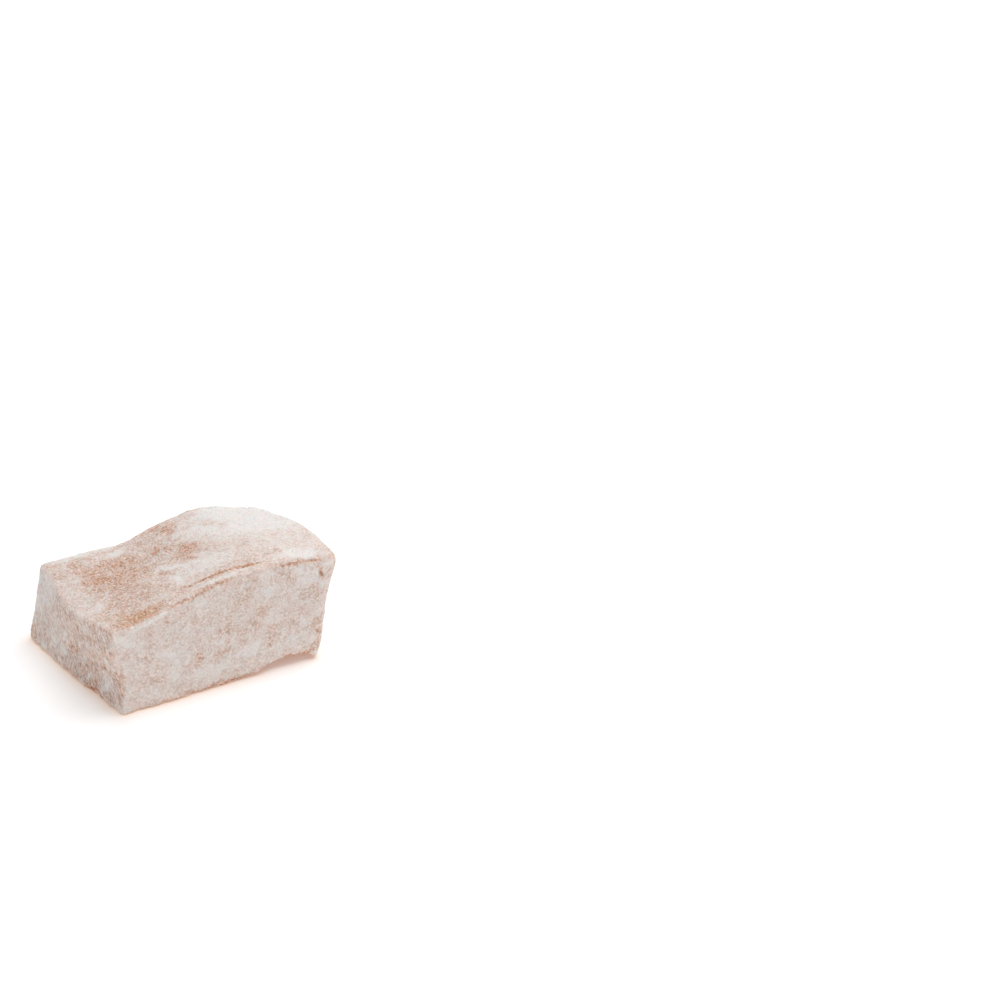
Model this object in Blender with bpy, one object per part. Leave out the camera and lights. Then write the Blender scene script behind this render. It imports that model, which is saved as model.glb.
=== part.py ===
"""A piece of Turkish delight: one hand-cut block of set starch gel under icing sugar and cornflour.

The block is oblong rather than square. Its top bulges towards the right, its left end is a little
hollow, and its lower rim is lifted and ragged where the knife and the powder left it.
Run it with: blender --background --python part.py
"""

import math

import bmesh
import bpy
from mathutils import Vector, noise

MM = 0.001

# Each corner as (x, y, z, radius) in millimetres, measured from the front left foot.
BASE_CORNERS = {
    "front_left": (-0.5, -0.5, 0.0, 0.55),
    "front_right": (31.0, -0.3, 0.0, 0.55),
    "back_left": (-3.2, 27.1, 0.0, 0.75),
    "back_right": (31.0, 27.3, 0.0, 0.95),
}
TOP_CORNERS = {
    "front_left": (-0.6, -0.5, 13.5, 0.5),
    "front_right": (34.8, -0.7, 15.3, 1.8),
    "back_left": (-0.1, 27.1, 11.85, 0.6),
    "back_right": (34.4, 25.8, 12.6, 2.0),
}
# The box that the corners are fitted over, used for distances from its edges and to round them.
LENGTH, DEPTH, HEIGHT = 34.0, 27.3, 14.0

# How far the top edges arch above or sag below a straight line between their corners.
FRONT_ARCH = 3.2
BACK_ARCH = 2.15
BACK_KNOLL = 0.5
RIGHT_ARCH = 1.9
LEFT_SAG = 1.4
CROWN = 0.85

# How far the upright faces stand out, or are hollow at the waist of the left end. The right end also
# stands out just under its top edge and just above its foot.
FRONT_BULGE = 0.45
BACK_BULGE = 0.55
RIGHT_BULGE = 0.45
LEFT_WAIST = 1.1
LEFT_TOP_BOW = 1.1
RIGHT_SHOULDER = 0.65
RIGHT_FOOT = 0.1

# The fold along the top front edge: a low lip with a groove on each side of it.
LIP_HEIGHT = 0.15
LIP_WIDTH = 1.4
GROOVE_DEPTH = 0.25
GROOVE_WIDTH = 0.5

# The lower rim: lifted off the table towards the right of the front, and ragged all round.
FRONT_RIM_LIFT = 1.2
FRONT_LIFT_REACH = 3.9
RIM_LIFT = 0.1
RIM_LIFT_REACH = 0.9
CRAG_DEPTH = 0.36
CRAG_SIZE = 1.4
CRAG_BAND = 2.1
SETTLE = 0.02

# Soft unevenness of the set gel, and the finer unevenness of the powder on it.
SWELL_DEPTH, SWELL_SIZE = 0.33, 8.5
LUMP_DEPTH, LUMP_SIZE = 0.13, 2.3

# Cells along, across and up the block. They are finer towards the edges.
CELLS = (38, 30, 17)
EDGE_CROWDING = 0.82

POWDERED_GEL = (0.72, 0.60, 0.53, 1.0)
POWDERED_GEL_ROUGHNESS = 0.85


def clear_scene():
    for leftover in list(bpy.data.objects):
        bpy.data.objects.remove(leftover, do_unlink=True)


def hump(position, centre, spread):
    """1 at the centre, falling smoothly to nothing a few spreads away."""
    return math.exp(-(((position - centre) / spread) ** 2))


def smooth_step(low, high, value):
    share = min(max((value - low) / (high - low), 0.0), 1.0)
    return share * share * (3.0 - 2.0 * share)


def between_corners(corners, along, back):
    """The corner values blended at a place that runs from 0 to 1 along the block and towards its back."""
    weights = {
        "front_left": (1 - along) * (1 - back),
        "front_right": along * (1 - back),
        "back_left": (1 - along) * back,
        "back_right": along * back,
    }
    return Vector([sum(weights[name] * corners[name][i] for name in weights) for i in range(4)])


def round_edges(unit, radius):
    """Moves a point of the cube's surface onto the same box with its edges rounded."""
    half = Vector((LENGTH, DEPTH, HEIGHT)) / 2
    point = Vector([unit[i] * half[i] for i in range(3)])
    inner = Vector([min(max(point[i], radius - half[i]), half[i] - radius) for i in range(3)])
    outward = point - inner
    rounded = inner + outward.normalized() * radius
    return Vector([rounded[i] / half[i] for i in range(3)])


def top_rise(along, back):
    """How far the top stands above the flat sheet between its four corners."""
    front = FRONT_ARCH * hump(along, 0.62, 0.34) * (1 - back) ** 1.3
    step = smooth_step(0.32, 0.58, along) * (1 - smooth_step(0.75, 1.05, along))
    rear = (BACK_ARCH * step + BACK_KNOLL * hump(along, 0.7, 0.08)) * back
    right = RIGHT_ARCH * math.sin(math.pi * back**0.8) * along**2
    left = -LEFT_SAG * hump(back, 0.5, 0.28) * (1 - along) ** 3
    crown = CROWN * math.sin(math.pi * along) * math.sin(math.pi * back)
    return front + rear + right + left + crown


def side_shift(along, back, up):
    """How far the upright faces leave the straight lines between base and top."""
    belly = math.sin(math.pi * up)
    across = math.sin(math.pi * along)
    inward = math.sin(math.pi * back)
    x = RIGHT_BULGE * belly * inward * along
    x += (RIGHT_SHOULDER * hump(up, 0.9, 0.2) + RIGHT_FOOT * hump(up, 0.15, 0.12)) * along**4
    x += LEFT_WAIST * hump(up, 0.3, 0.26) * (1 - back) * (1 - along) ** 2
    x -= LEFT_TOP_BOW * up * inward * (1 - along) ** 2
    y = -FRONT_BULGE * up * across * (1 - back)
    y += BACK_BULGE * belly * across * back
    return Vector((x, y, 0.0))


def fold(along, reach):
    """The lip's height less its grooves, at a reach behind (+) or below (-) the top front edge."""
    lower = hump(reach, -0.2, GROOVE_WIDTH) * (1 - smooth_step(0.5, 0.62, along))
    upper = hump(reach, LIP_WIDTH, GROOVE_WIDTH) * smooth_step(0.3, 0.42, along)
    lip = hump(reach, LIP_WIDTH / 2, LIP_WIDTH / 2) * smooth_step(0.15, 0.4, along)
    return LIP_HEIGHT * lip - GROOVE_DEPTH * (lower + upper)


def rim_lift(along, from_front, from_edge):
    """How far the underside is off the table at its rim: most near the right of the front edge."""
    front = FRONT_RIM_LIFT * hump(along, 0.86, 0.17) * hump(from_front, 0.0, FRONT_LIFT_REACH)
    foot = smooth_step(1.0, 0.95, along)
    return front * foot + RIM_LIFT * hump(from_edge, 0.0, RIM_LIFT_REACH)


def between_base_and_top(along, back, up):
    """A point of the smooth block, from shares of its length, depth and height."""
    base = between_corners(BASE_CORNERS, along, back).xyz
    top = between_corners(TOP_CORNERS, along, back).xyz
    top.z += top_rise(along, back)
    return base.lerp(top, up) + side_shift(along, back, up)


def block_point(unit):
    """A point of the cube's surface, each coordinate from -1 to 1, as a point of the block in millimetres."""
    middle = Vector((1, 1, 1))
    along, back, up = (unit + middle) / 2
    base_radius = between_corners(BASE_CORNERS, along, back)[3]
    top_radius = between_corners(TOP_CORNERS, along, back)[3]
    along, back, up = (round_edges(unit, base_radius + (top_radius - base_radius) * up) + middle) / 2
    point = between_base_and_top(along, back, up)

    from_front = back * DEPTH
    from_edge = min(along * LENGTH, (1 - along) * LENGTH, from_front, DEPTH - from_front)
    above_base = up * HEIGHT
    point.z += fold(along, from_front + above_base - HEIGHT) * smooth_step(0.75, 0.95, up)
    rim = 1 - smooth_step(0.0, CRAG_BAND, above_base)
    near_side = 1 - smooth_step(0.0, CRAG_BAND, from_edge)
    point.z += rim_lift(along, from_front, from_edge) * rim

    crags = noise.noise_vector(point / CRAG_SIZE) * CRAG_DEPTH * rim * near_side
    swell = noise.noise_vector(point / SWELL_SIZE) * SWELL_DEPTH
    lumps = noise.noise_vector(point / LUMP_SIZE) * LUMP_DEPTH
    off_table = max(1 - rim, near_side)
    point += (swell + lumps) * off_table + crags
    point.z = max(point.z - SETTLE, 0.0)
    return point


def gridded_cube():
    """A cube of side 2 whose faces are cut into the block's cells, crowded towards the edges."""
    mesh = bmesh.new()
    bmesh.ops.create_cube(mesh, size=2.0)
    for axis, cells in enumerate(CELLS):
        parallel = [edge for edge in mesh.edges if abs((edge.verts[0].co - edge.verts[1].co)[axis]) > 1.0]
        bmesh.ops.subdivide_edges(mesh, edges=parallel, cuts=cells - 1, use_grid_fill=True)
    widest = math.sin(EDGE_CROWDING * math.pi / 2)
    for vertex in mesh.verts:
        vertex.co = Vector([math.sin(value * EDGE_CROWDING * math.pi / 2) / widest for value in vertex.co])
    return mesh


def powdered_gel():
    material = bpy.data.materials.new("powdered_gel")
    material.use_nodes = True
    shader = material.node_tree.nodes["Principled BSDF"]
    shader.inputs["Base Color"].default_value = POWDERED_GEL
    shader.inputs["Roughness"].default_value = POWDERED_GEL_ROUGHNESS
    shader.inputs["Metallic"].default_value = 0.0
    return material


def make_block():
    """The whole piece as one solid, standing on the origin at the middle of its outline."""
    shape = gridded_cube()
    for vertex in shape.verts:
        vertex.co = block_point(vertex.co) * MM
    low = Vector([min(vertex.co[i] for vertex in shape.verts) for i in range(3)])
    high = Vector([max(vertex.co[i] for vertex in shape.verts) for i in range(3)])
    middle = (low + high) / 2
    bmesh.ops.translate(shape, vec=(-middle.x, -middle.y, -low.z), verts=shape.verts)
    bmesh.ops.recalc_face_normals(shape, faces=shape.faces)
    mesh = bpy.data.meshes.new("turkish_delight")
    shape.to_mesh(mesh)
    shape.free()
    mesh.shade_smooth()
    mesh.materials.append(powdered_gel())
    block = bpy.data.objects.new("turkish_delight", mesh)
    bpy.context.scene.collection.objects.link(block)
    return block


clear_scene()
make_block()
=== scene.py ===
"""The looks of one piece of Turkish delight: set starch gel under a patchy dusting of sugar and starch.

The block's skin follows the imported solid. Fine relief, the thickness of the powder and the creases
of the fold are worked out at each point of it, and loose sugar crumbs are scattered over it.
"""

import math
from collections import namedtuple

import bmesh
import bpy
import numpy as np
from bpy.props import FloatProperty, FloatVectorProperty, IntProperty, PointerProperty
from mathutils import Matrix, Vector, noise
from mathutils.bvhtree import BVHTree


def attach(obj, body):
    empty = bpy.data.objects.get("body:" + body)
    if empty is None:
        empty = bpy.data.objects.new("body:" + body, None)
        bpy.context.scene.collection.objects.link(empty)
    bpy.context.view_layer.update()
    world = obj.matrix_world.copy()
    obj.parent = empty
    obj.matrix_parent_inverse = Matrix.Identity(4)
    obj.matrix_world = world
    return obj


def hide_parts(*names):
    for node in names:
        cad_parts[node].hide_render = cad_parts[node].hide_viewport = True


bl_info = {
    "name": "Turkish Delight Block",
    "version": (1, 0, 0),
    "blender": (4, 5, 0),
    "location": "View3D > Sidebar > Turkish Delight",
    "description": "Makes a powdered block of Turkish delight around its packed solid",
    "category": "Object",
}

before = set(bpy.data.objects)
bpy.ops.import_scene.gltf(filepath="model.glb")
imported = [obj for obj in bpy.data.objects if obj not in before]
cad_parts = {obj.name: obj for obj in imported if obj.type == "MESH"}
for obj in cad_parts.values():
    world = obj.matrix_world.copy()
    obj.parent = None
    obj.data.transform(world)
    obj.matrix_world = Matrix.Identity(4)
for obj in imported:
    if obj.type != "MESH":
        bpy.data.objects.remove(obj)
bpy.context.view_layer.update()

MM = 0.001
MERGE_DISTANCE = 1e-7
NEARLY_NOTHING = 1e-6
# Triangles of the solid are joined to quads where they meet at less than this angle.
JOIN_ANGLE = math.radians(40)

# How much of the gel the powder hides where nothing else is said, from 0 (bare) to 1 (thick).
TOP_COVER = 0.67
FRONT_COVER = 0.77
LEFT_COVER = 0.64
HIDDEN_COVER = 0.72
UNDERSIDE_COVER = 0.04
LEAST_COVER = 0.08

# A place where the powder lies thinner or thicker than around it. The first two numbers are its
# middle on the face in millimetres, then come half its length, half its width, its turn in degrees
# and its cover. Tops are read as x and y, fronts as x and z, left ends as y and z.
Patch = namedtuple("Patch", "across up long wide turn cover")

TOP_PATCHES = (
    # The thick white powder on the right, and the tan ground on the left.
    Patch(12.4, 2.6, 10.2, 9.6, 0, 0.82),
    Patch(12.6, 4.0, 9.0, 8.6, 0, 0.95),
    Patch(-8.6, 2.6, 5.0, 5.6, 0, 0.48),
    Patch(-2.0, 2.8, 2.9, 3.4, 0, 0.60),
    Patch(-0.5, 9.2, 4.6, 3.0, 0, 0.61),
    Patch(-10.4, -6.2, 3.4, 3.4, 0, 0.54),
    Patch(-16.0, 1.2, 1.3, 9.0, 0, 0.71),
    Patch(0.5, -7.8, 5.0, 2.6, 0, 0.83),
    Patch(-9.5, 12.8, 5.5, 1.1, 0, 0.93),
    # Nearly bare spots.
    Patch(-10.9, 2.8, 1.4, 1.1, 0, 0.33),
    Patch(-9.0, 2.0, 0.8, 1.4, 0, 0.35),
    Patch(-12.9, 3.8, 0.6, 0.8, 0, 0.38),
    Patch(-6.5, 1.5, 0.8, 0.8, 0, 0.33),
    Patch(-11.4, -1.2, 0.5, 1.1, 0, 0.40),
    Patch(-9.9, -1.4, 0.6, 1.1, 0, 0.40),
    Patch(-6.4, -2.5, 0.7, 0.7, 0, 0.43),
    Patch(-5.2, 0.4, 0.6, 0.9, 0, 0.40),
    Patch(-7.4, 5.1, 1.1, 0.7, 0, 0.42),
    Patch(-11.9, 6.9, 1.6, 1.0, 0, 0.44),
    Patch(-9.6, 6.5, 0.9, 1.0, 0, 0.44),
    Patch(-6.2, 5.5, 0.7, 1.2, 0, 0.42),
    Patch(-2.5, 3.8, 0.7, 1.1, 0, 0.43),
    Patch(0.7, -1.0, 1.3, 1.9, 0, 0.33),
    Patch(1.5, -1.4, 0.7, 0.9, 0, 0.36),
    Patch(-0.9, -2.8, 0.8, 1.1, 0, 0.45),
    Patch(-0.2, -4.5, 0.5, 0.8, 0, 0.46),
    Patch(1.7, 7.8, 1.0, 1.7, 0, 0.32),
    Patch(0.3, 10.9, 1.1, 1.2, 0, 0.46),
    Patch(-12.7, 9.8, 1.0, 0.9, 0, 0.50),
    Patch(-15.5, 10.9, 0.6, 1.3, 0, 0.60),
    Patch(-14.8, 6.9, 0.7, 0.9, 0, 0.66),
    Patch(-4.1, -5.0, 1.3, 0.9, -45, 0.50),
    Patch(-6.1, -7.6, 0.6, 0.8, 0, 0.55),
    Patch(-15.5, -8.2, 0.6, 1.3, 0, 0.55),
    # White streaks and spots among the tan.
    Patch(-14.6, -4.4, 1.7, 0.5, 75, 0.86),
    Patch(-2.9, -4.1, 2.0, 0.6, -60, 0.96),
    Patch(-3.9, -8.0, 1.9, 0.9, -75, 0.93),
    Patch(0.6, -7.7, 0.9, 0.45, 60, 0.92),
    Patch(1.7, 4.3, 0.9, 0.5, 60, 0.90),
    Patch(-6.3, 9.0, 1.2, 0.9, 0, 0.88),
    # Thinner places among the white.
    Patch(6.4, 3.6, 0.9, 1.6, 0, 0.76),
    Patch(7.4, 1.0, 1.6, 0.7, 65, 0.80),
    Patch(4.4, 6.4, 2.2, 1.5, 0, 0.77),
    Patch(5.4, 10.2, 2.0, 1.6, 0, 0.70),
    Patch(6.2, -5.1, 2.4, 0.7, 50, 0.80),
    Patch(12.3, -2.9, 0.9, 0.6, 0, 0.88),
    Patch(15.5, -0.3, 0.9, 0.4, 60, 0.80),
    Patch(10.8, 0.7, 0.4, 1.2, 0, 0.90),
    Patch(13.0, -8.4, 5.8, 3.0, 0, 0.81),
    Patch(6.4, -9.7, 2.2, 1.3, 0, 0.74),
    Patch(14.2, -11.3, 1.6, 0.6, 0, 0.72),
    Patch(9.8, -11.3, 1.3, 0.7, 0, 0.67),
    Patch(13.2, -12.4, 3.9, 1.1, 0, 0.96),
    Patch(0.4, -12.9, 3.6, 0.45, -5, 0.92),
)
AMBER_PATCHES = (
    Patch(-11.6, -12.6, 4.2, 1.6, 0, 0.42),
    Patch(-13.6, -10.6, 1.9, 2.1, 0, 0.44),
    Patch(-12.3, -12.6, 2.3, 1.3, 0, 0.26),
)
# The gel starts to look amber where those patches take away the first of these shares of cover, and
# is wholly amber at the second.
AMBER_LOSS = (0.05, 0.3)
# The thin white line under the left half of the fold, where the cover is set high.
FOLD_PATCHES = (
    Patch(-10.6, 13.75, 4.3, 0.25, 16.5, 0.94),
)
FRONT_PATCHES = (
    # Thick white places.
    Patch(-7.3, 7.7, 1.8, 1.0, 0, 0.88),
    Patch(-7.4, 5.6, 1.1, 1.7, 0, 0.87),
    Patch(-7.7, 4.0, 1.1, 1.6, 0, 0.87),
    Patch(-5.3, 6.6, 0.5, 0.8, 0, 0.91),
    Patch(-9.2, 8.0, 0.6, 0.6, 0, 0.88),
    Patch(-14.9, 7.6, 0.7, 1.1, 0, 0.84),
    Patch(-15.6, 12.3, 0.7, 0.6, 0, 0.92),
    Patch(-14.7, 11.3, 1.2, 0.6, 0, 0.92),
    Patch(-13.0, 12.5, 0.5, 0.5, 0, 0.89),
    Patch(-12.6, 10.0, 0.5, 1.3, -15, 0.85),
    Patch(-14.5, 4.0, 0.7, 0.7, 0, 0.87),
    Patch(-8.3, 12.0, 0.5, 0.7, 0, 0.85),
    Patch(-5.7, 9.3, 0.8, 1.2, 0, 0.82),
    Patch(-2.1, 3.3, 3.3, 0.7, 3, 0.89),
    Patch(-1.5, 2.7, 0.9, 0.5, 0, 0.92),
    Patch(4.0, 4.6, 1.6, 1.0, 0, 0.91),
    Patch(5.2, 5.6, 0.5, 0.6, 0, 0.92),
    Patch(2.6, 2.5, 0.8, 0.5, 0, 0.91),
    Patch(8.5, 3.0, 0.6, 0.8, 0, 0.88),
    Patch(10.9, 4.0, 1.4, 1.0, 0, 0.85),
    Patch(7.8, 8.8, 1.1, 0.8, 0, 0.85),
    Patch(7.2, 13.6, 1.0, 0.8, 0, 0.91),
    Patch(7.1, 16.3, 1.3, 0.5, 0, 0.89),
    Patch(12.0, 15.1, 1.1, 0.5, 0, 0.92),
    Patch(13.8, 14.6, 1.4, 0.4, -20, 0.92),
    Patch(13.5, 13.3, 1.6, 0.7, 0, 0.91),
    Patch(16.3, 12.3, 0.7, 0.35, 0, 0.91),
    Patch(17.4, 15.4, 0.6, 0.6, 0, 0.91),
    Patch(12.9, 7.1, 0.4, 0.6, 0, 0.88),
    Patch(13.2, 4.0, 0.6, 0.7, 0, 0.85),
    Patch(-0.4, 7.6, 0.6, 0.4, 0, 0.85),
    Patch(1.5, 6.8, 0.4, 0.8, 0, 0.85),
    Patch(-3.5, 14.6, 1.3, 0.5, -10, 0.87),
    Patch(-12.5, 1.6, 2.3, 1.3, 0, 0.80),
    Patch(-14.8, 0.8, 1.0, 0.6, 0, 0.88),
    Patch(4.9, 17.2, 0.7, 0.35, 0, 0.92),
    # Thin tan places.
    Patch(-11.7, 7.9, 0.7, 0.6, 0, 0.55),
    Patch(-15.0, 9.3, 0.7, 0.4, 0, 0.66),
    Patch(-15.6, 5.9, 0.35, 1.7, 0, 0.56),
    Patch(-11.3, 4.2, 1.3, 0.6, 0, 0.63),
    Patch(-9.7, 4.3, 0.9, 0.7, 0, 0.66),
    Patch(-9.8, 5.9, 1.0, 0.7, 0, 0.68),
    Patch(-11.2, 9.9, 0.7, 0.7, 0, 0.72),
    Patch(-10.5, 12.0, 2.0, 1.2, 0, 0.73),
    Patch(-8.0, 12.9, 1.3, 0.4, -25, 0.63),
    Patch(-4.7, 4.6, 1.0, 0.7, 0, 0.62),
    Patch(-3.8, 5.7, 0.7, 0.7, 0, 0.57),
    Patch(-4.0, 8.0, 1.3, 1.6, 0, 0.72),
    Patch(-0.7, 8.9, 0.8, 0.6, 0, 0.57),
    Patch(1.1, 9.1, 0.6, 0.8, 0, 0.63),
    Patch(0.5, 6.2, 0.4, 1.4, 0, 0.59),
    Patch(-0.6, 5.6, 0.6, 0.7, 0, 0.63),
    Patch(3.7, 8.6, 1.9, 1.3, 0, 0.66),
    Patch(2.9, 7.1, 0.6, 1.4, 0, 0.64),
    Patch(5.2, 8.0, 0.8, 1.3, 0, 0.67),
    Patch(6.5, 10.7, 1.9, 0.8, 50, 0.63),
    Patch(3.4, 13.6, 1.4, 1.3, 0, 0.60),
    Patch(5.2, 15.4, 0.6, 0.9, 0, 0.66),
    Patch(2.6, 11.9, 0.7, 0.5, 0, 0.66),
    Patch(1.2, 10.8, 0.6, 0.8, 0, 0.67),
    Patch(-1.0, 10.8, 1.3, 1.3, 0, 0.73),
    Patch(-3.8, 12.0, 1.3, 0.7, 0, 0.68),
    Patch(7.7, 6.5, 1.0, 1.5, 0, 0.64),
    Patch(7.3, 5.1, 0.4, 0.7, 0, 0.53),
    Patch(11.0, 14.4, 0.6, 0.5, 0, 0.66),
    Patch(9.2, 15.1, 1.5, 0.6, 0, 0.68),
    Patch(13.5, 11.3, 1.4, 1.2, 0, 0.63),
    Patch(11.4, 8.0, 1.4, 1.4, 0, 0.69),
    Patch(13.1, 8.2, 0.4, 0.4, 0, 0.60),
    Patch(14.8, 6.6, 1.2, 0.6, 15, 0.57),
    Patch(14.0, 5.9, 0.6, 0.6, 0, 0.62),
    Patch(15.0, 4.2, 0.4, 1.2, 0, 0.53),
    Patch(14.4, 2.5, 0.8, 0.8, 0, 0.59),
    Patch(16.2, 10.6, 0.5, 0.8, 0, 0.57),
    Patch(17.5, 13.9, 0.5, 0.7, 0, 0.69),
    # The lower rim, where the gel shows through thin powder; these low covers also paint in the shade along
    # the rim's foot.
    Patch(-8.0, 0.5, 3.2, 0.4, 0, 0.60),
    Patch(1.0, 0.4, 6.6, 0.5, 0, 0.42),
    Patch(7.5, 0.8, 3.6, 0.4, 4, 0.36),
    Patch(11.8, 1.4, 2.8, 0.4, -4, 0.24),
)
LEFT_PATCHES = (
    # The back half is whiter, most of all at its top.
    Patch(6.7, 4.5, 4.6, 4.4, 0, 0.73),
    Patch(8.8, 10.2, 4.8, 2.3, -38, 0.87),
    Patch(12.4, 8.0, 1.9, 4.4, 0, 0.88),
    Patch(0.7, 12.0, 5.5, 0.7, -4, 0.74),
    Patch(11.4, 9.0, 0.9, 0.5, 0, 0.76),
    # Nearly bare spots.
    Patch(-12.1, 12.5, 0.8, 0.5, -30, 0.52),
    Patch(-11.0, 10.3, 1.2, 0.5, -25, 0.52),
    Patch(-8.1, 10.4, 2.2, 0.8, -10, 0.54),
    Patch(-6.8, 9.5, 1.8, 0.6, -15, 0.52),
    Patch(-12.1, 9.0, 1.1, 0.6, 0, 0.44),
    Patch(-4.4, 8.5, 0.9, 0.5, -35, 0.47),
    Patch(-3.6, 10.3, 1.8, 0.5, -40, 0.58),
    Patch(-1.4, 10.5, 1.0, 0.6, 0, 0.60),
    Patch(-1.3, 8.0, 0.9, 0.6, 0, 0.50),
    Patch(-0.1, 4.9, 1.9, 0.7, -40, 0.47),
    Patch(-2.8, 2.7, 1.0, 0.6, -30, 0.44),
    Patch(-5.8, 2.0, 0.7, 0.6, 0, 0.44),
    Patch(-9.0, 5.8, 1.1, 0.6, -30, 0.40),
    Patch(-10.1, 5.4, 1.0, 0.4, 0, 0.47),
    Patch(-12.7, 4.9, 0.9, 0.9, 0, 0.40),
    Patch(-13.2, 6.0, 0.4, 1.1, 0, 0.47),
    Patch(-13.2, 3.3, 0.4, 1.3, 0, 0.50),
    Patch(-5.4, 4.3, 2.0, 0.5, -35, 0.52),
    Patch(8.5, 5.8, 0.8, 0.6, 0, 0.64),
    Patch(9.9, 2.7, 1.3, 1.2, 0, 0.64),
    # White spots and streaks.
    Patch(-11.0, 7.4, 0.7, 0.6, -30, 0.94),
    Patch(-12.2, 6.9, 0.7, 0.35, -30, 0.88),
    Patch(-8.8, 2.8, 2.3, 0.7, -40, 0.85),
    Patch(-8.7, 2.1, 0.8, 0.4, -25, 0.94),
    Patch(-4.0, 1.7, 0.9, 0.5, -35, 0.94),
    Patch(-3.2, 4.2, 1.1, 0.35, -40, 0.86),
    Patch(-1.0, 3.0, 1.2, 0.35, -35, 0.85),
    Patch(-2.7, 6.4, 0.4, 0.9, 0, 0.78),
    Patch(3.1, 3.1, 1.0, 0.9, 0, 0.92),
    Patch(2.1, 5.5, 1.3, 0.35, -35, 0.85),
    Patch(5.6, 3.2, 0.7, 0.6, 0, 0.85),
    Patch(-6.2, 11.0, 2.2, 0.35, -42, 0.78),
    Patch(-12.8, 0.9, 1.2, 0.6, 0, 0.93),
    Patch(8.6, 0.6, 1.2, 0.5, 0, 0.90),
    # The lower rim, where the gel shows through thin powder; these low covers also paint in the shade along
    # its foot.
    Patch(-5.8, 0.4, 2.2, 0.4, 0, 0.32),
    Patch(1.2, 0.3, 5.0, 0.35, 0, 0.52),
)
# A patch fades out over this share of its half width each way, but over no more than so many mm.
PATCH_SOFTNESS, PATCH_EDGE = 0.6, 0.9

# The offsets of the vector noise are drawn from this seed, and from the clock without one.
NOISE_SEED = 1
# Noise as (size of its features, depth) in millimetres: it pushes the patches' outlines about.
PATCH_WARPS = ((1.6, 0.7), (0.6, 0.45))
# Noise as (size of its features, change of cover): on every face, and on those that don't show.
CLOUDS = ((2.4, 0.08), (0.9, 0.17))
BROAD_CLOUDS = ((6.5, 0.30), (2.6, 0.22))
UNDERSIDE_CLOUDS = 0.3
# The clouds fade out where the powder is so thick that it hides the gel anyway.
CLOUDLESS_COVER, CLOUD_FADE = 1.05, 0.4

# A face starts to take part at the first of these shares of facing its way, and is whole at the second.
SIDE_FACING = (0.35, 0.75)
TOP_FACING = (0.42, 0.7)
UNDERSIDE_FACING = (0.45, 0.8)

# The fold runs along the block's top front edge, which is read off its skin in steps of so many mm.
EDGE_STEP, EDGE_END = 1.0, 17.0
FOLD_BLUR = 0.15
# Right of the lip the edge is rounder, and the fold lies this far below it. It starts to drop at the
# first of these places along the block, and has dropped at the second.
FOLD_DROP, DROP_START, DROP_END = 0.7, 6.5, 9.0
# A crease of the fold runs between two places along the block, at a reach behind (+) or below (-)
# the edge that may change from its start to its end, all in millimetres.
Crease = namedtuple("Crease", "strength start end start_reach end_reach")

CREASES = (
    # Below the lip, above it, right of it and down the corner.
    Crease(0.75, -8.0, 1.8, -0.3, -0.3),
    Crease(0.85, -4.5, 7.0, 2.5, 1.0),
    Crease(0.65, 9.0, 16.5, -0.7, -0.7),
    Crease(1.6, 15.4, 16.1, -1.6, -3.1),
)
CREASE_POINTS = 9
CREASE_WIDTH = 0.22
# A crease fades towards its ends over so many mm, down to a share of its strength.
CREASE_FADE, CREASE_END_SHARE = 1.2, 0.35
# How much powder a whole crease has lost, and how amber its gel is.
CREASE_THINNING, CREASE_AMBER = 0.62, 0.7
# Its strength varies along it: the middle value, the variation and its size, and the two limits.
CREASE_MIDDLE, CREASE_VARIATION, CREASE_VARIATION_SIZE = 0.95, 0.4, 0.9
CREASE_LIMITS = (0.55, 1.1)

# The knife dragged down the left end, leaving fine lines in the powder along this way (y, z).
DRAG_ACROSS, DRAG_DOWN = 0.54, 0.84
DRAG_LENGTH, DRAG_SPACING = 5.0, 0.55
DRAG_DEPTH, DRAG_COVER = 0.05, 0.1
# How many times longer than wide the dragged grains are, and how much more painted shade and painted light
# (and bump) they get.
GRAIN_DRAG, DRAG_PAINTED_SHADE = 1.6, 0.35

# The ragged stretch above the lower rim, and the size of its crags.
RIM_BAND, RIM_CRAG_SIZE = 1.2, 0.7
# The sizes of the powder's soft lumps and of its clumped grains.
LUMP_SIZE, CLUMP_SIZE = 1.1, 0.45

# The grains show most at the first of these covers, and hardly at all at the second.
THIN_COVER, THICK_COVER = 0.35, 0.9
# How far the grains change the cover, and how much painted shade and painted light they lay on the colour
# (the same values give the bump), from thin powder to thick.
SPECKLE_SPREAD = (1.1, 0.2)
GRAIN_PAINTED_SHADE = (1.6, 0.3)
GRAIN_DETAIL, GRAIN_DETAIL_SHARE = 2.0, 0.55
# Amber gel has soaked up its powder, so it speckles less.
AMBER_CALM = -0.5

# Set gel is satin, and powder is dull. Both are mostly sugar.
GEL_ROUGHNESS, POWDER_ROUGHNESS = 0.55, 0.95
SUGAR_IOR = 1.5
SUGAR_GLOSS, FLOOR_GLOSS, FLOOR_ROUGHNESS = 0.3, 0.1, 0.9
# Light spreads a little way into the gel, red further than blue.
INNER_GLOW, INNER_GLOW_RADIUS, INNER_GLOW_REACH = 0.45, (1.0, 0.5, 0.35), 2.0 * MM

# Above 1 makes small crumbs commoner than large ones.
CRUMB_SIZE_BIAS = 2.0
CRUMB_TINT_SIZE = 0.8
# How thickly crumbs lie: on thin powder, how much less on thick powder, how much more at the rim.
CRUMBS_ON_THIN, FEWER_ON_THICK, MORE_AT_RIM = 0.5, 0.15, 1.2
CRUMB_THIN_COVER, CRUMB_THICK_COVER = 0.35, 0.95
# No crumb lies lower than this above the table, and all of them from the second height up.
CRUMB_LOWEST, CRUMB_FREE = 0.25, 0.45
# A crumb's length, width and height as shares of its size.
FLATTEST_CRUMB, FULLEST_CRUMB = (0.7, 0.7, 0.3), (1.3, 1.1, 0.7)

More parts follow.
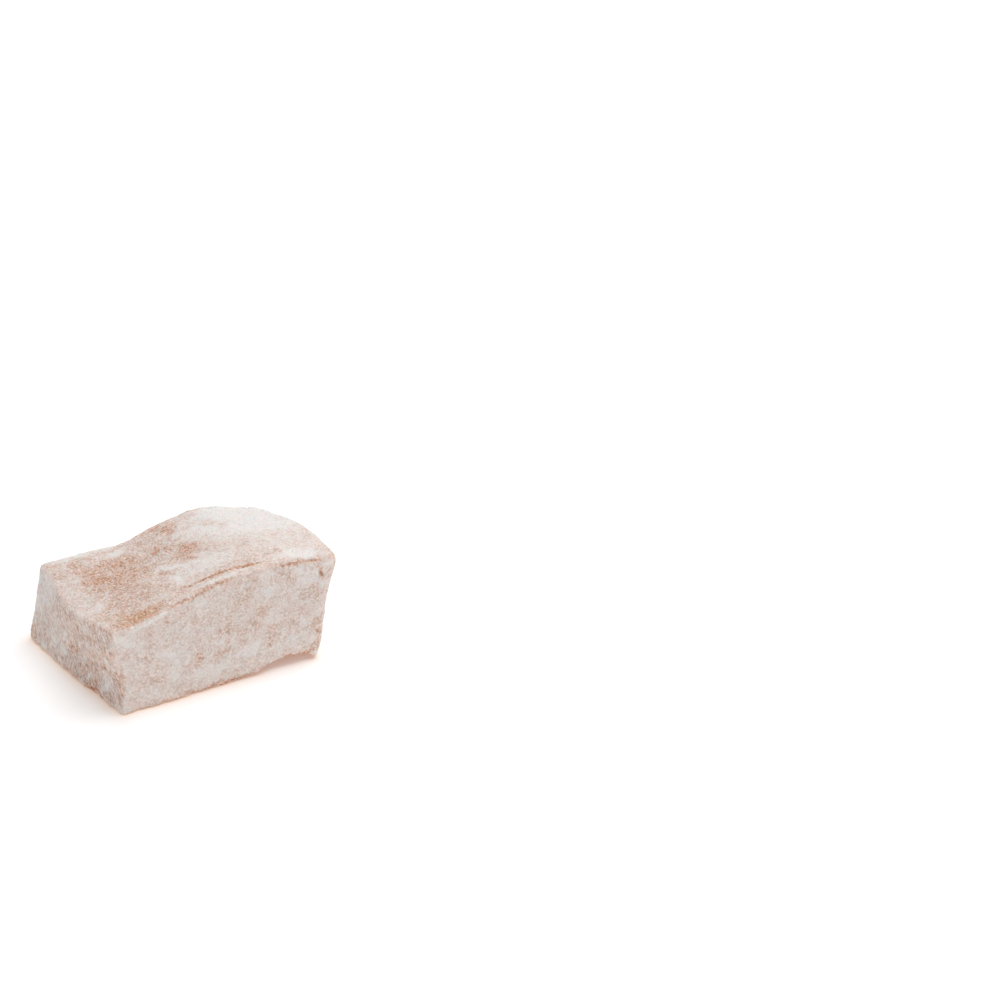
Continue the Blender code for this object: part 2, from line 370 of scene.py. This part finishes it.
# From the block towards the lamp.
SOFTBOX_WAY = (0.33, -0.02, 0.95)
SENSOR_WIDTH = 36.0
FLOOR_GAP = 0.02 * MM
# The stretch of floor with fine cells, to each side of the middle, and how far the warm glow painted on the
# floor for the gel's light reaches.
FINE_FLOOR, FLOOR_CELL = 24.0, 0.4
PAINTED_GLOW_REACH = 0.9


def linear(hex_colour):
    """An sRGB hex colour such as #DFD7D3 as linear red, green, blue and alpha."""
    channels = [int(hex_colour[start : start + 2], 16) / 255 for start in (1, 3, 5)]
    return (*(c / 12.92 if c <= 0.04045 else ((c + 0.055) / 1.055) ** 2.4 for c in channels), 1.0)


def colour_property(name, description, hex_colour):
    return FloatVectorProperty(
        name=name, description=description, subtype="COLOR", size=4, min=0, max=1, default=linear(hex_colour)
    )


def length_property(name, description, millimetres):
    return FloatProperty(
        name=name,
        description=description,
        subtype="DISTANCE",
        unit="LENGTH",
        min=0,
        precision=5,
        default=millimetres * MM,
    )


class PowderedBlockSettings(bpy.types.PropertyGroup):
    skin_cell: length_property("Skin Cell", "Side of the small faces of the block's skin", 0.205)
    lump_depth: length_property("Lump Depth", "How far the powder's soft lumps stand out", 0.09)
    grain_depth: length_property("Grain Depth", "How far the powder's clumped grains stand out", 0.06)
    powder_depth: length_property("Powder Depth", "Thickness of the powder where it hides the gel", 0.05)
    crease_depth: length_property("Crease Depth", "How deep the creases of the fold are cut", 0.12)
    crag_depth: length_property("Crag Depth", "How ragged the lower rim is", 0.2)
    grain_size: length_property("Grain Size", "Size of the grains that speckle the gel", 0.34)
    gel_colour: colour_property("Gel", "The set gel where it shows between the grains", "#C57C42")
    amber_colour: colour_property("Amber Gel", "The gel where it has soaked up the powder", "#C88A55")
    powder_colour: colour_property("Powder", "Sugar and starch lying thick", "#EDE9E6")
    bump_height: length_property("Bump Height", "How far the finest grains stand out in the shading", 0.16)


class SugarCrumbSettings(bpy.types.PropertyGroup):
    per_square_mm: FloatProperty(
        name="Crumbs per mm²", description="How many crumbs lie on a square millimetre", min=0, default=2.6
    )
    smallest: length_property("Smallest", "Width of the smallest crumb", 0.12)
    largest: length_property("Largest", "Width of the largest crumb", 0.38)
    seed: IntProperty(name="Seed", description="Which random scatter is drawn", default=7)
    crumb_colour: colour_property("Crumb", "A grain of sugar dusted with starch", "#F3EFEC")
    shaded_colour: colour_property("Dull Crumb", "A grain that has soaked up some of the gel", "#EADCD2")


class StageSettings(bpy.types.PropertyGroup):
    floor_width: length_property("Floor Width", "Side of the floor", 4000.0)
    floor_colour: colour_property("Floor", "Plain white acrylic", "#F8F8F8")
    # Painted light: the warm glow laid on the floor near the block, in its colour and its emission.
    painted_glow_colour: colour_property("Painted Floor Glow", "Warm glow painted on the floor near the block, for light through the gel", "#F8E6D6")
    floor_glow: FloatProperty(
        name="Floor Glow", description="Light from under the floor", min=0, default=0.25
    )
    sky_strength: FloatProperty(name="Sky", description="Brightness of the white room light", default=0.44)
    softbox_width: length_property("Softbox Width", "Side of the square lamp", 700.0)
    softbox_distance: length_property("Softbox Distance", "From the block to the lamp", 800.0)
    softbox_power: FloatProperty(
        name="Softbox Power", description="Power of the lamp", subtype="POWER", unit="POWER", default=4.45
    )
    lens: FloatProperty(
        name="Lens", description="Focal length", subtype="DISTANCE_CAMERA", unit="CAMERA", default=85.0
    )
    camera_pitch: FloatProperty(
        name="Pitch", description="How far the camera looks down", subtype="ANGLE", default=math.radians(26.5)
    )
    camera_heading: FloatProperty(
        name="Heading",
        description="How far the camera is turned to the right of +Y",
        subtype="ANGLE",
        default=math.radians(31.3),
    )
    camera_place: FloatVectorProperty(
        name="Place",
        description="Where the camera stands",
        subtype="TRANSLATION",
        unit="LENGTH",
        default=(-0.117412, -0.282334, 0.174519),
    )


def socket_of(sockets, key):
    """The socket in use of that name or number: some nodes keep one of each kind under one name."""
    in_use = [socket for socket in sockets if socket.enabled]
    return in_use[key] if isinstance(key, int) else next(socket for socket in in_use if socket.name == key)


def add_node(tree, kind, settings=None, inputs=None):
    """Adds a node with its settings. An input given as a node or a socket is linked, any other is set."""
    node = tree.nodes.new(kind)
    for name, value in (settings or {}).items():
        setattr(node, name, value)
    for key, value in (inputs or {}).items():
        target = socket_of(node.inputs, key)
        if isinstance(value, bpy.types.Node):
            value = socket_of(value.outputs, 0)
        if isinstance(value, bpy.types.NodeSocket):
            tree.links.new(value, target)
        else:
            target.default_value = value
    return node


def smooth_step(low, high, values):
    share = np.clip((values - low) / (high - low), 0.0, 1.0)
    return share * share * (3.0 - 2.0 * share)


def noise_at(points, size, shift=0.0):
    """Soft noise from about -1 to 1 at each point, with features of a size in millimetres."""
    offset = Vector((shift, -shift, shift * 0.5))
    return np.array([noise.noise(Vector(point) / size + offset) for point in points])


def noise_vectors_at(points, size, shift=0.0):
    offset = Vector((shift, -shift, shift * 0.5))
    return np.array([noise.noise_vector(Vector(point) / size + offset) for point in points])


def layered_noise(points, layers, shifts):
    """The sum of several noises, each given by its size and depth."""
    return sum(noise_at(points, size, shift) * depth for (size, depth), shift in zip(layers, shifts))


def lay_patches(cover, patches, across, up):
    """A face's cover once its patches are laid over it, one after another."""
    for patch in patches:
        turn = math.radians(patch.turn)
        right, rise = across - patch.across, up - patch.up
        along = (right * math.cos(turn) + rise * math.sin(turn)) / patch.long
        aside = (rise * math.cos(turn) - right * math.sin(turn)) / patch.wide
        narrow = min(patch.long, patch.wide)
        edge = min(PATCH_SOFTNESS * narrow, PATCH_EDGE)
        inside = 1 - smooth_step(-edge, edge, (np.hypot(along, aside) - 1) * narrow)
        cover = cover + (patch.cover - cover) * inside
    return cover


def distance_to_line(points, line):
    """How far each point is from the nearest stretch of a line given by its own points."""
    nearest = np.full(len(points), np.inf)
    for start, end in zip(line, line[1:]):
        start, end = np.array(start), np.array(end)
        way = end - start
        share = np.clip((points - start) @ way / (way @ way), 0.0, 1.0)
        nearest = np.minimum(nearest, np.linalg.norm(points - start - share[:, None] * way, axis=1))
    return nearest


def block_skin(cell):
    """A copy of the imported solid's surface as even quads with sides of one cell."""
    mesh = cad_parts["turkish_delight"].data.copy()
    shape = bmesh.new()
    shape.from_mesh(mesh)
    bmesh.ops.remove_doubles(shape, verts=shape.verts, dist=MERGE_DISTANCE)
    bmesh.ops.join_triangles(
        shape, faces=shape.faces, angle_face_threshold=JOIN_ANGLE, angle_shape_threshold=JOIN_ANGLE
    )
    shape.to_mesh(mesh)
    shape.free()
    mesh.materials.clear()
    block = bpy.data.objects.new("powdered_block", mesh)
    bpy.context.scene.collection.objects.link(block)
    rounding = block.modifiers.new("rounding", "SUBSURF")
    rounding.levels = rounding.render_levels = 2
    skin = block.modifiers.new("skin", "REMESH")
    skin.mode = "VOXEL"
    skin.voxel_size = cell
    graph = bpy.context.evaluated_depsgraph_get()
    block.data = bpy.data.meshes.new_from_object(block.evaluated_get(graph))
    block.modifiers.clear()
    return block


def top_front_edge(points):
    """The places along the block, and its surface point furthest to the front and up at each."""
    places = np.arange(-EDGE_END, EDGE_END + EDGE_STEP, EDGE_STEP)
    edge = []
    for place in places:
        section = points[np.abs(points[:, 0] - place) < EDGE_STEP / 2]
        edge.append(section[np.argmax(section[:, 2] - section[:, 1])])
    return places, np.array(edge)


def face_shares(points, normals):
    """How far each point belongs to the top, front, left end, underside and the hidden faces."""
    places, edge = top_front_edge(points)
    x = points[:, 0]
    fold = np.interp(x, places, edge[:, 2]) - FOLD_DROP * smooth_step(DROP_START, DROP_END, x)
    above = smooth_step(-FOLD_BLUR, FOLD_BLUR, points[:, 2] - fold)
    facing = smooth_step(*SIDE_FACING, -normals[:, 1])
    upward = smooth_step(*TOP_FACING, normals[:, 2])
    shares = {
        "top": upward * (1 - facing * (1 - above)) + facing * above * (1 - upward),
        "front": facing * (1 - above),
        "left": smooth_step(*SIDE_FACING, -normals[:, 0]),
        "underside": smooth_step(*UNDERSIDE_FACING, -normals[:, 2]),
        "hidden": smooth_step(*SIDE_FACING, np.maximum(normals[:, 0], normals[:, 1])),
    }
    total = sum(shares.values()) + NEARLY_NOTHING
    return {name: share / total for name, share in shares.items()}


def powder_cover(points, normals):
    """How the powder lies at each point.

    Returns how much of the gel it hides, how amber the gel is, how far the knife has dragged it, and
    the fine lines of that drag.
    """
    (wide, far), (narrow, near) = PATCH_WARPS
    warped = points + noise_vectors_at(points, wide) * far + noise_vectors_at(points, narrow, 3.1) * near
    x, y, z = warped.T
    clouds = layered_noise(points, CLOUDS, (5.3, 8.7))
    broad = layered_noise(points, BROAD_CLOUDS, (2.2, 9.1))

    drag = np.stack(
        [
            points[:, 0],
            (points[:, 1] * DRAG_ACROSS + points[:, 2] * DRAG_DOWN) / DRAG_LENGTH * DRAG_SPACING,
            points[:, 1] * DRAG_DOWN - points[:, 2] * DRAG_ACROSS,
        ],
        axis=1,
    )
    streaks = noise_at(drag, DRAG_SPACING, 1.7)

    powdered_top = lay_patches(TOP_COVER, TOP_PATCHES, x, y)
    top = lay_patches(powdered_top, AMBER_PATCHES, x, y)
    front = lay_patches(FRONT_COVER, FRONT_PATCHES, x, z)
    covers = {
        "top": top,
        "front": lay_patches(front, FOLD_PATCHES, points[:, 0], points[:, 2]),
        "left": lay_patches(LEFT_COVER, LEFT_PATCHES, y, z) + streaks * DRAG_COVER,
        "underside": UNDERSIDE_COVER + broad * UNDERSIDE_CLOUDS,
        "hidden": HIDDEN_COVER + broad,
    }
    shares = face_shares(points, normals)
    cover = sum(share * covers[name] for name, share in shares.items())
    calm = smooth_step(0.0, CLOUD_FADE, CLOUDLESS_COVER - cover)
    amber = shares["top"] * smooth_step(*AMBER_LOSS, powdered_top - top)
    return cover + clouds * calm, amber, shares["left"], streaks


def crease_line(points, places, edge, crease):
    """The surface points that a crease runs through, worked out from the block's top front edge."""
    along = np.linspace(crease.start, crease.end, CREASE_POINTS)
    reach = np.linspace(crease.start_reach, crease.end_reach, CREASE_POINTS)
    back = np.interp(along, places, edge[:, 1]) + np.maximum(reach, 0.0)
    up = np.interp(along, places, edge[:, 2]) + np.minimum(reach, 0.0)
    line = np.stack([along, back, up], axis=1)
    return [points[np.argmin(np.linalg.norm(points - place, axis=1))] for place in line]


def crease_share(points):
    """1 in the creases of the fold, falling away to nothing beside them and towards their ends."""
    places, edge = top_front_edge(points)
    share = np.zeros(len(points))
    for crease in CREASES:
        line = crease_line(points, places, edge, crease)
        ends = [np.linalg.norm(points - end, axis=1) for end in (line[0], line[-1])]
        whole = smooth_step(0.0, CREASE_FADE, np.minimum(*ends))
        strength = crease.strength * (CREASE_END_SHARE + (1 - CREASE_END_SHARE) * whole)
        share = np.maximum(share, strength * np.exp(-((distance_to_line(points, line) / CREASE_WIDTH) ** 2)))
    variation = CREASE_MIDDLE + CREASE_VARIATION * noise_at(points, CREASE_VARIATION_SIZE, 4.4)
    return share * np.clip(variation, *CREASE_LIMITS)


def add_attribute(mesh, name, values):
    mesh.attributes.new(name, "FLOAT", "POINT").data.foreach_set("value", values.astype(np.float32))


def read_vectors(collection, name, count):
    values = np.empty(count * 3, np.float32)
    collection.foreach_get(name, values)
    return values.reshape(count, 3).astype(float)


def dust_block(block, settings):
    """Gives the skin its relief, and keeps at each point how the powder lies there."""
    noise.seed_set(NOISE_SEED)
    mesh = block.data
    count = len(mesh.vertices)
    points = read_vectors(mesh.vertices, "co", count) / MM
    normals = read_vectors(mesh.vertex_normals, "vector", count)

    cover, amber, drag, streaks = powder_cover(points, normals)
    crease = crease_share(points)
    cover = np.clip(cover - CREASE_THINNING * crease, LEAST_COVER, 1.0)
    amber = np.clip(amber + CREASE_AMBER * crease, 0.0, 1.0)

    relief = noise_at(points, LUMP_SIZE) * settings.lump_depth
    relief += noise_at(points, CLUMP_SIZE, 6.2) * settings.grain_depth
    relief += (cover - 0.5) * settings.powder_depth
    relief += streaks * drag * DRAG_DEPTH * MM
    relief -= crease * settings.crease_depth
    near_rim = 1 - smooth_step(0.0, RIM_BAND, points[:, 2])
    side = 1 - face_shares(points, normals)["underside"]
    crags = noise_vectors_at(points, RIM_CRAG_SIZE, 7.7) * (near_rim * side * settings.crag_depth)[:, None]
    placed = points * MM + normals * relief[:, None] + crags
    placed[:, 2] = np.maximum(placed[:, 2], 0.0)
    mesh.vertices.foreach_set("co", placed.astype(np.float32).ravel())
    mesh.update()

    add_attribute(mesh, "cover", cover)
    add_attribute(mesh, "amber", amber)
    add_attribute(mesh, "drag", drag)
    thick = smooth_step(CRUMB_THIN_COVER, CRUMB_THICK_COVER, cover)
    rims = near_rim * side
    free = smooth_step(CRUMB_LOWEST, CRUMB_FREE, points[:, 2])
    density = (CRUMBS_ON_THIN - FEWER_ON_THICK * thick + MORE_AT_RIM * rims) * free * side
    add_attribute(mesh, "crumb_density", density)
    mesh.shade_smooth()


def new_material(name):
    """A material with an empty tree, and its coordinates in millimetres."""
    material = bpy.data.materials.new(name)
    material.use_nodes = True
    tree = material.node_tree
    tree.nodes.clear()
    place = socket_of(add_node(tree, "ShaderNodeTexCoord").outputs, "Object")
    in_mm = add_node(tree, "ShaderNodeVectorMath", {"operation": "SCALE"}, {"Vector": place, "Scale": 1 / MM})
    return material, tree, in_mm


def dusted_gel(settings):
    """Lokum: boiled sugar and starch set to a clear amber gel, cut, and rolled in sugar and starch.

    The powder is matt and nearly white, and hides the gel where it lies thick. Where it lies thin, each
    grain stands on the gel by itself, so the tan of the gel speckles it.
    """
    material, tree, in_mm = new_material("dusted_starch_gel")
    cover, amber, drag = (
        socket_of(add_node(tree, "ShaderNodeAttribute", {"attribute_name": name}).outputs, "Fac")
        for name in ("cover", "amber", "drag")
    )
    dragged = add_node(
        tree,
        "ShaderNodeMapping",
        {"vector_type": "TEXTURE"},
        {
            "Vector": in_mm,
            "Rotation": (-math.atan2(DRAG_ACROSS, DRAG_DOWN), 0.0, 0.0),
            "Scale": (1.0, 1.0, GRAIN_DRAG),
        },
    )
    round_grains, long_grains = (
        add_node(
            tree,
            "ShaderNodeTexNoise",
            inputs={
                "Vector": place,
                "Scale": MM / settings.grain_size,
                "Detail": GRAIN_DETAIL,
                "Roughness": GRAIN_DETAIL_SHARE,
            },
        )
        for place in (in_mm, dragged)
    )
    grains = add_node(
        tree, "ShaderNodeMix", {"data_type": "FLOAT"}, {"Factor": drag, "A": round_grains, "B": long_grains}
    )
    around_zero = add_node(tree, "ShaderNodeMath", {"operation": "SUBTRACT"}, {0: grains, 1: 0.5})
    spread, painted_shade = (
        add_node(
            tree,
            "ShaderNodeMapRange",
            inputs={
                "Value": cover,
                "From Min": THIN_COVER,
                "From Max": THICK_COVER,
                "To Min": on_thin,
                "To Max": on_thick,
            },
        )
        for on_thin, on_thick in (SPECKLE_SPREAD, GRAIN_PAINTED_SHADE)
    )
    calm = add_node(tree, "ShaderNodeMath", {"operation": "MULTIPLY_ADD"}, {0: amber, 1: AMBER_CALM, 2: 1.0})
    spread_here = add_node(tree, "ShaderNodeMath", {"operation": "MULTIPLY"}, {0: spread, 1: calm})
    speckle = add_node(
        tree,
        "ShaderNodeMath",
        {"operation": "MULTIPLY_ADD", "use_clamp": True},
        {0: around_zero, 1: spread_here, 2: cover},
    )
    gel = add_node(
        tree,
        "ShaderNodeMix",
        {"data_type": "RGBA"},
        {"Factor": amber, "A": settings.gel_colour, "B": settings.amber_colour},
    )
    colour = add_node(
        tree,
        "ShaderNodeMix",
        {"data_type": "RGBA"},
        {"Factor": speckle, "A": gel, "B": settings.powder_colour},
    )
    painted_shade_here = add_node(
        tree,
        "ShaderNodeMath",
        {"operation": "MULTIPLY_ADD"},
        {0: drag, 1: DRAG_PAINTED_SHADE, 2: painted_shade},
    )
    # Painted shade and light: the grain noise darkens the colour between the grains and lightens it on them,
    # in place of their small shadows. The same values are the bump's height.
    shade = add_node(
        tree,
        "ShaderNodeMath",
        {"operation": "MULTIPLY_ADD"},
        {0: around_zero, 1: painted_shade_here, 2: 1.0},
    )
    shaded = add_node(
        tree,
        "ShaderNodeMix",
        {"data_type": "RGBA", "blend_type": "MULTIPLY"},
        {"Factor": 1.0, "A": colour, "B": shade},
    )
    roughness = add_node(
        tree,
        "ShaderNodeMapRange",
        inputs={"Value": speckle, "To Min": GEL_ROUGHNESS, "To Max": POWDER_ROUGHNESS},
    )
    bump = add_node(
        tree,
        "ShaderNodeBump",
        inputs={"Strength": 1.0, "Distance": settings.bump_height, "Height": shade},
    )
    shader = add_node(
        tree,
        "ShaderNodeBsdfPrincipled",
        inputs={
            "Base Color": shaded,
            "Roughness": roughness,
            "IOR": SUGAR_IOR,
            "Specular IOR Level": SUGAR_GLOSS,
            "Subsurface Weight": INNER_GLOW,
            "Subsurface Radius": INNER_GLOW_RADIUS,
            "Subsurface Scale": INNER_GLOW_REACH,
            "Normal": bump,
        },
    )
    add_node(tree, "ShaderNodeOutputMaterial", inputs={"Surface": shader})
    return material


def sugar_grain(settings):
    """Crushed sugar dusted with starch: small dull white grains that catch the light on one side."""
    material, tree, in_mm = new_material("starch_dusted_sugar")
    tint = add_node(tree, "ShaderNodeTexNoise", inputs={"Vector": in_mm, "Scale": 1 / CRUMB_TINT_SIZE})
    colour = add_node(
        tree,
        "ShaderNodeMix",
        {"data_type": "RGBA"},
        {"Factor": tint, "A": settings.shaded_colour, "B": settings.crumb_colour},
    )
    shader = add_node(
        tree,
        "ShaderNodeBsdfPrincipled",
        inputs={
            "Base Color": colour,
            "Roughness": POWDER_ROUGHNESS,
            "IOR": SUGAR_IOR,
            "Specular IOR Level": SUGAR_GLOSS,
        },
    )
    add_node(tree, "ShaderNodeOutputMaterial", inputs={"Surface": shader})
    return material


def crumb_scatter():
    """The tree that lays crumbs on a surface, where its crumb_density says, and joins them to a mesh."""
    tree = bpy.data.node_groups.new("crumb_scatter", "GeometryNodeTree")
    for name, kind in (
        ("Surface", "NodeSocketGeometry"),
        ("Crumbs per m²", "NodeSocketFloat"),
        ("Smallest", "NodeSocketFloat"),
        ("Largest", "NodeSocketFloat"),
        ("Seed", "NodeSocketInt"),
        ("Material", "NodeSocketMaterial"),
    ):
        tree.interface.new_socket(name, in_out="INPUT", socket_type=kind)
    tree.interface.new_socket("Crumbs", in_out="OUTPUT", socket_type="NodeSocketGeometry")
    given = add_node(tree, "NodeGroupInput").outputs
    where = add_node(
        tree, "GeometryNodeInputNamedAttribute", {"data_type": "FLOAT"}, {"Name": "crumb_density"}
    )
    density = add_node(
        tree, "ShaderNodeMath", {"operation": "MULTIPLY"}, {0: where, 1: given["Crumbs per m²"]}
    )
    points = add_node(
        tree,
        "GeometryNodeDistributePointsOnFaces",
        inputs={"Mesh": given["Surface"], "Density": density, "Seed": given["Seed"]},
    )
    crumb = add_node(tree, "GeometryNodeMeshIcoSphere", inputs={"Radius": 0.5, "Subdivisions": 1})
    chance = add_node(tree, "FunctionNodeRandomValue", {"data_type": "FLOAT"}, {"Seed": given["Seed"]})
    mostly_small = add_node(tree, "ShaderNodeMath", {"operation": "POWER"}, {0: chance, 1: CRUMB_SIZE_BIAS})
    width = add_node(
        tree,
        "ShaderNodeMapRange",
        inputs={"Value": mostly_small, "To Min": given["Smallest"], "To Max": given["Largest"]},
    )
    uneven = add_node(
        tree,
        "FunctionNodeRandomValue",
        {"data_type": "FLOAT_VECTOR"},
        {"Min": FLATTEST_CRUMB, "Max": FULLEST_CRUMB, "Seed": given["Seed"]},
    )
    scale = add_node(tree, "ShaderNodeVectorMath", {"operation": "SCALE"}, {"Vector": uneven, "Scale": width})
    laid = add_node(
        tree,
        "GeometryNodeInstanceOnPoints",
        inputs={
            "Points": points,
            "Instance": crumb,
            "Rotation": points.outputs["Rotation"],
            "Scale": scale,
        },
    )
    joined = add_node(tree, "GeometryNodeRealizeInstances", inputs={"Geometry": laid})
    coated = add_node(
        tree, "GeometryNodeSetMaterial", inputs={"Geometry": joined, "Material": given["Material"]}
    )
    add_node(tree, "NodeGroupOutput", inputs={"Crumbs": coated})
    return tree


def scatter_crumbs(block, settings):
    """One mesh of all the crumbs that lie on the block."""
    crumbs = bpy.data.objects.new("sugar_crumbs", block.data.copy())
    bpy.context.scene.collection.objects.link(crumbs)
    scatter = crumbs.modifiers.new("scatter", "NODES")
    scatter.node_group = crumb_scatter()
    given = {
        "Crumbs per m²": settings.per_square_mm / MM**2,
        "Smallest": settings.smallest,
        "Largest": settings.largest,
        "Seed": settings.seed,
        "Material": sugar_grain(settings),
    }
    for item in scatter.node_group.interface.items_tree:
        if item.name in given:
            scatter[item.identifier] = given[item.name]
    graph = bpy.context.evaluated_depsgraph_get()
    crumbs.data = bpy.data.meshes.new_from_object(crumbs.evaluated_get(graph))
    crumbs.modifiers.clear()
    crumbs.data.shade_smooth()
    return crumbs


def lit_acrylic(settings):
    """Matt white acrylic on a light table: it shines a little by itself, so shadows on it stay pale.

    Close to the block a warm glow is painted into its colour and its emission, in place of the light that
    would come through the gel.
    """
    material = bpy.data.materials.new("opal_acrylic")
    material.use_nodes = True
    tree = material.node_tree
    tree.nodes.clear()
    tint = socket_of(add_node(tree, "ShaderNodeAttribute", {"attribute_name": "painted_gel_glow"}).outputs, "Fac")
    colour = add_node(
        tree,
        "ShaderNodeMix",
        {"data_type": "RGBA"},
        {"Factor": tint, "A": settings.floor_colour, "B": settings.painted_glow_colour},
    )
    shader = add_node(
        tree,
        "ShaderNodeBsdfPrincipled",
        inputs={
            "Base Color": colour,
            "Roughness": FLOOR_ROUGHNESS,
            "Specular IOR Level": FLOOR_GLOSS,
            "Emission Color": colour,
            "Emission Strength": settings.floor_glow,
        },
    )
    add_node(tree, "ShaderNodeOutputMaterial", inputs={"Surface": shader})
    return material


def make_floor(settings, block):
    """A plain white floor, with cells fine enough near the block to hold the warm glow painted there for the
    gel's light.
    """
    half = settings.floor_width / 2
    lines = [-half, *(np.arange(-FINE_FLOOR, FINE_FLOOR, FLOOR_CELL) * MM), half]
    count = len(lines)
    corners = [(x, y, -FLOOR_GAP) for y in lines for x in lines]
    firsts = [row * count + column for row in range(count - 1) for column in range(count - 1)]
    mesh = bpy.data.meshes.new("floor")
    mesh.from_pydata(corners, [], [(first, first + 1, first + count + 1, first + count) for first in firsts])
    gel = BVHTree.FromObject(block, bpy.context.evaluated_depsgraph_get())
    distances = np.array([gel.find_nearest(corner)[3] for corner in corners]) / MM
    # Painted glow: the floor is tinted warmer the nearer it lies to the block.
    add_attribute(mesh, "painted_gel_glow", np.exp(-distances / PAINTED_GLOW_REACH))
    mesh.materials.append(lit_acrylic(settings))
    floor = bpy.data.objects.new("floor", mesh)
    bpy.context.scene.collection.objects.link(floor)
    return floor


def make_lights(settings):
    """A white room all round, and one large soft lamp above the block and somewhat to its right."""
    scene = bpy.context.scene
    scene.world = bpy.data.worlds.new("white_room")
    scene.world.use_nodes = True
    sky = scene.world.node_tree.nodes["Background"]
    sky.inputs["Color"].default_value = (1.0, 1.0, 1.0, 1.0)
    sky.inputs["Strength"].default_value = settings.sky_strength

    lamp = bpy.data.lights.new("softbox", "AREA")
    lamp.size = settings.softbox_width
    lamp.energy = settings.softbox_power
    softbox = bpy.data.objects.new("softbox", lamp)
    way = Vector(SOFTBOX_WAY).normalized()
    softbox.location = way * settings.softbox_distance
    softbox.rotation_euler = way.to_track_quat("Z", "Y").to_euler()
    scene.collection.objects.link(softbox)
    scene.view_settings.view_transform = "Standard"


def make_camera(settings):
    lens = bpy.data.cameras.new("camera")
    lens.lens = settings.lens
    lens.sensor_width = SENSOR_WIDTH
    lens.clip_start = 0.01
    camera = bpy.data.objects.new("camera", lens)
    camera.location = settings.camera_place
    camera.rotation_euler = (math.pi / 2 - settings.camera_pitch, 0.0, -settings.camera_heading)
    bpy.context.scene.collection.objects.link(camera)
    bpy.context.scene.camera = camera


class DELIGHT_OT_powdered_block(bpy.types.Operator):
    """Make the block's skin with its powder, in place of the plain solid"""

    bl_idname = "delight.powdered_block"
    bl_label = "Powdered Block"
    bl_options = {"REGISTER", "UNDO"}

    def execute(self, context):
        settings = context.scene.powdered_block
        block = block_skin(settings.skin_cell)
        dust_block(block, settings)
        block.data.materials.append(dusted_gel(settings))
        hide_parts("turkish_delight")
        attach(block, "root")
        return {"FINISHED"}


class DELIGHT_OT_sugar_crumbs(bpy.types.Operator):
    """Scatter loose sugar crumbs over the powdered block"""

    bl_idname = "delight.sugar_crumbs"
    bl_label = "Sugar Crumbs"
    bl_options = {"REGISTER", "UNDO"}

    def execute(self, context):
        crumbs = scatter_crumbs(bpy.data.objects["powdered_block"], context.scene.sugar_crumbs)
        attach(crumbs, "root")
        return {"FINISHED"}


class DELIGHT_OT_stage(bpy.types.Operator):
    """Lay the floor and set up the lights and the camera"""

    bl_idname = "delight.stage"
    bl_label = "Floor, Lights and Camera"
    bl_options = {"REGISTER", "UNDO"}

    def execute(self, context):
        settings = context.scene.delight_stage
        make_floor(settings, bpy.data.objects["powdered_block"])
        make_lights(settings)
        make_camera(settings)
        return {"FINISHED"}


class VIEW3D_PT_turkish_delight(bpy.types.Panel):
    """The block's operators and what can be changed about them"""

    bl_label = "Turkish Delight"
    bl_space_type = "VIEW_3D"
    bl_region_type = "UI"
    bl_category = "Turkish Delight"

    def draw(self, context):
        for operator, group in OPERATORS:
            box = self.layout.box()
            box.operator(operator.bl_idname)
            settings = getattr(context.scene, group)
            for name in settings.bl_rna.properties.keys():
                if name not in ("rna_type", "name"):
                    box.prop(settings, name)


SETTINGS = {
    "powdered_block": PowderedBlockSettings,
    "sugar_crumbs": SugarCrumbSettings,
    "delight_stage": StageSettings,
}
OPERATORS = (
    (DELIGHT_OT_powdered_block, "powdered_block"),
    (DELIGHT_OT_sugar_crumbs, "sugar_crumbs"),
    (DELIGHT_OT_stage, "delight_stage"),
)
CLASSES = (*SETTINGS.values(), *(operator for operator, _ in OPERATORS), VIEW3D_PT_turkish_delight)


def register():
    for each in CLASSES:
        bpy.utils.register_class(each)
    for name, group in SETTINGS.items():
        setattr(bpy.types.Scene, name, PointerProperty(type=group))


def unregister():
    for name in SETTINGS:
        delattr(bpy.types.Scene, name)
    for each in reversed(CLASSES):
        bpy.utils.unregister_class(each)


def main():
    register()
    bpy.ops.delight.powdered_block()
    bpy.ops.delight.sugar_crumbs()
    bpy.ops.delight.stage()


if __name__ == "__main__":
    main()
